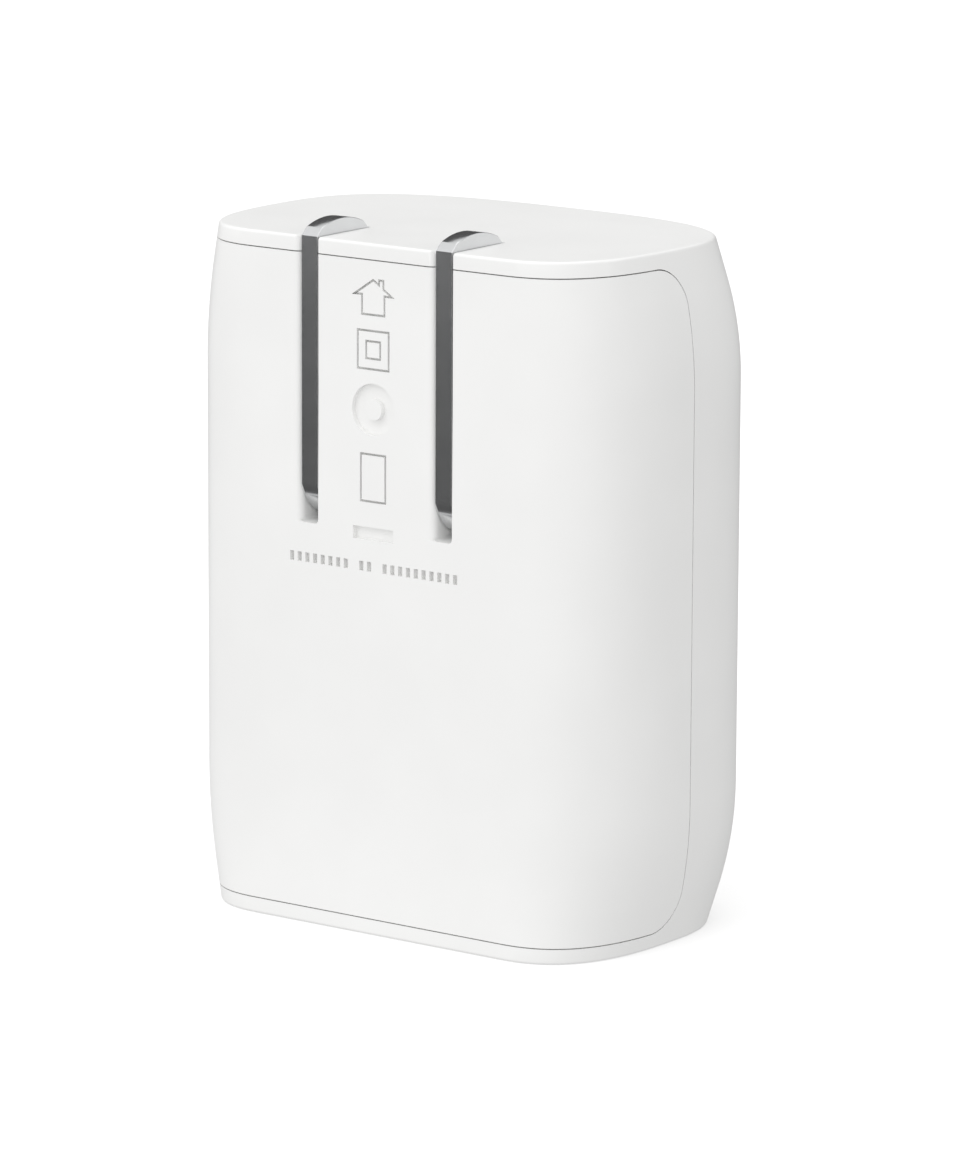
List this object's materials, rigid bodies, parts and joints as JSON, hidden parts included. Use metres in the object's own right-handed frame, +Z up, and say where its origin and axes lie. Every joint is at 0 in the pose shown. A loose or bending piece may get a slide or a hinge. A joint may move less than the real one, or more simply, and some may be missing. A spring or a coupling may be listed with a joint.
{
  "type": "usb wall charger",
  "caption": "Compact mains wall charger with a rounded two-part case, folding flat blades on the back, and a USB-C and a USB-A socket on the front.",
  "frame": {"origin": "centre of the footprint, on the surface that the charger stands on", "axes": "+Z up; +Y out of the back, the way the blades fold out; -Y out of the front, where the sockets are; +X to the right when the front is seen"},
  "size_m": [0.0414, 0.0268, 0.0546],
  "materials": {
    "housing_white": "fine satin moulded",
    "blade_metal": "rolled and tumbled, satin",
    "rotor_plastic": "satin moulded",
    "screw_steel": "zinc plated",
    "spring_brass": "rolled strip",
    "insulation_film": "film",
    "board_laminate": "solder mask",
    "part_yellow": "moulded",
    "part_brown": "moulded",
    "part_black": "moulded epoxy",
    "part_blue": "sleeved",
    "can_aluminium": "drawn",
    "ferrite": "sintered, matt",
    "copper_winding": "enamelled wire",
    "tape_yellow": "film tape",
    "ceramic_tan": "ceramic",
    "pad_grey": "soft pad",
    "spreader_aluminium": "rolled sheet",
    "socket_steel": "nickel plated",
    "socket_black": "moulded",
    "socket_white": "moulded",
    "contact_gold": "gold plated"
  },
  "bodies": {
    "case": {"front_housing": "housing_white", "back_cover": "housing_white", "rotor_retainer": "rotor_plastic", "retainer_screws": "screw_steel", "detent_spring": "spring_brass", "line_contact": "spring_brass", "neutral_contact": "spring_brass", "insulation_sheet": "insulation_film", "main_board": "board_laminate", "input_fuse": "part_brown", "x_capacitor": "part_yellow", "choke_core": "ferrite", "choke_winding": "copper_winding", "bridge_rectifier": "part_black", "bulk_capacitor_a": "part_black", "bulk_capacitor_b": "part_black", "power_switch": "part_black", "y_capacitor": "part_blue", "transformer_core_upper": "ferrite", "transformer_core_lower": "ferrite", "transformer_bobbin": "part_black", "transformer_winding": "copper_winding", "transformer_tape": "tape_yellow", "sync_rectifier": "part_black", "output_capacitors": "can_aluminium", "output_inductor": "ferrite", "protocol_chip": "part_black", "chip_parts": "ceramic_tan", "thermal_pad": "pad_grey", "heat_spreader": "spreader_aluminium", "usb_c_shell": "socket_steel", "usb_c_insulator": "socket_black", "usb_c_contacts": "contact_gold", "usb_a_shell": "socket_steel", "usb_a_insulator": "socket_white", "usb_a_contacts": "contact_gold"},
    "plug": {"blade_left": "blade_metal", "blade_right": "blade_metal", "blade_rotor": "rotor_plastic"}
  },
  "joints": [
    {"name": "blade_fold", "type": "hinge", "parent": "case", "child": "plug", "pos_m": [0, 0.01026, 0.03473], "axis": [-1, 0, 0], "range_deg": [0, 90]}
  ]
}
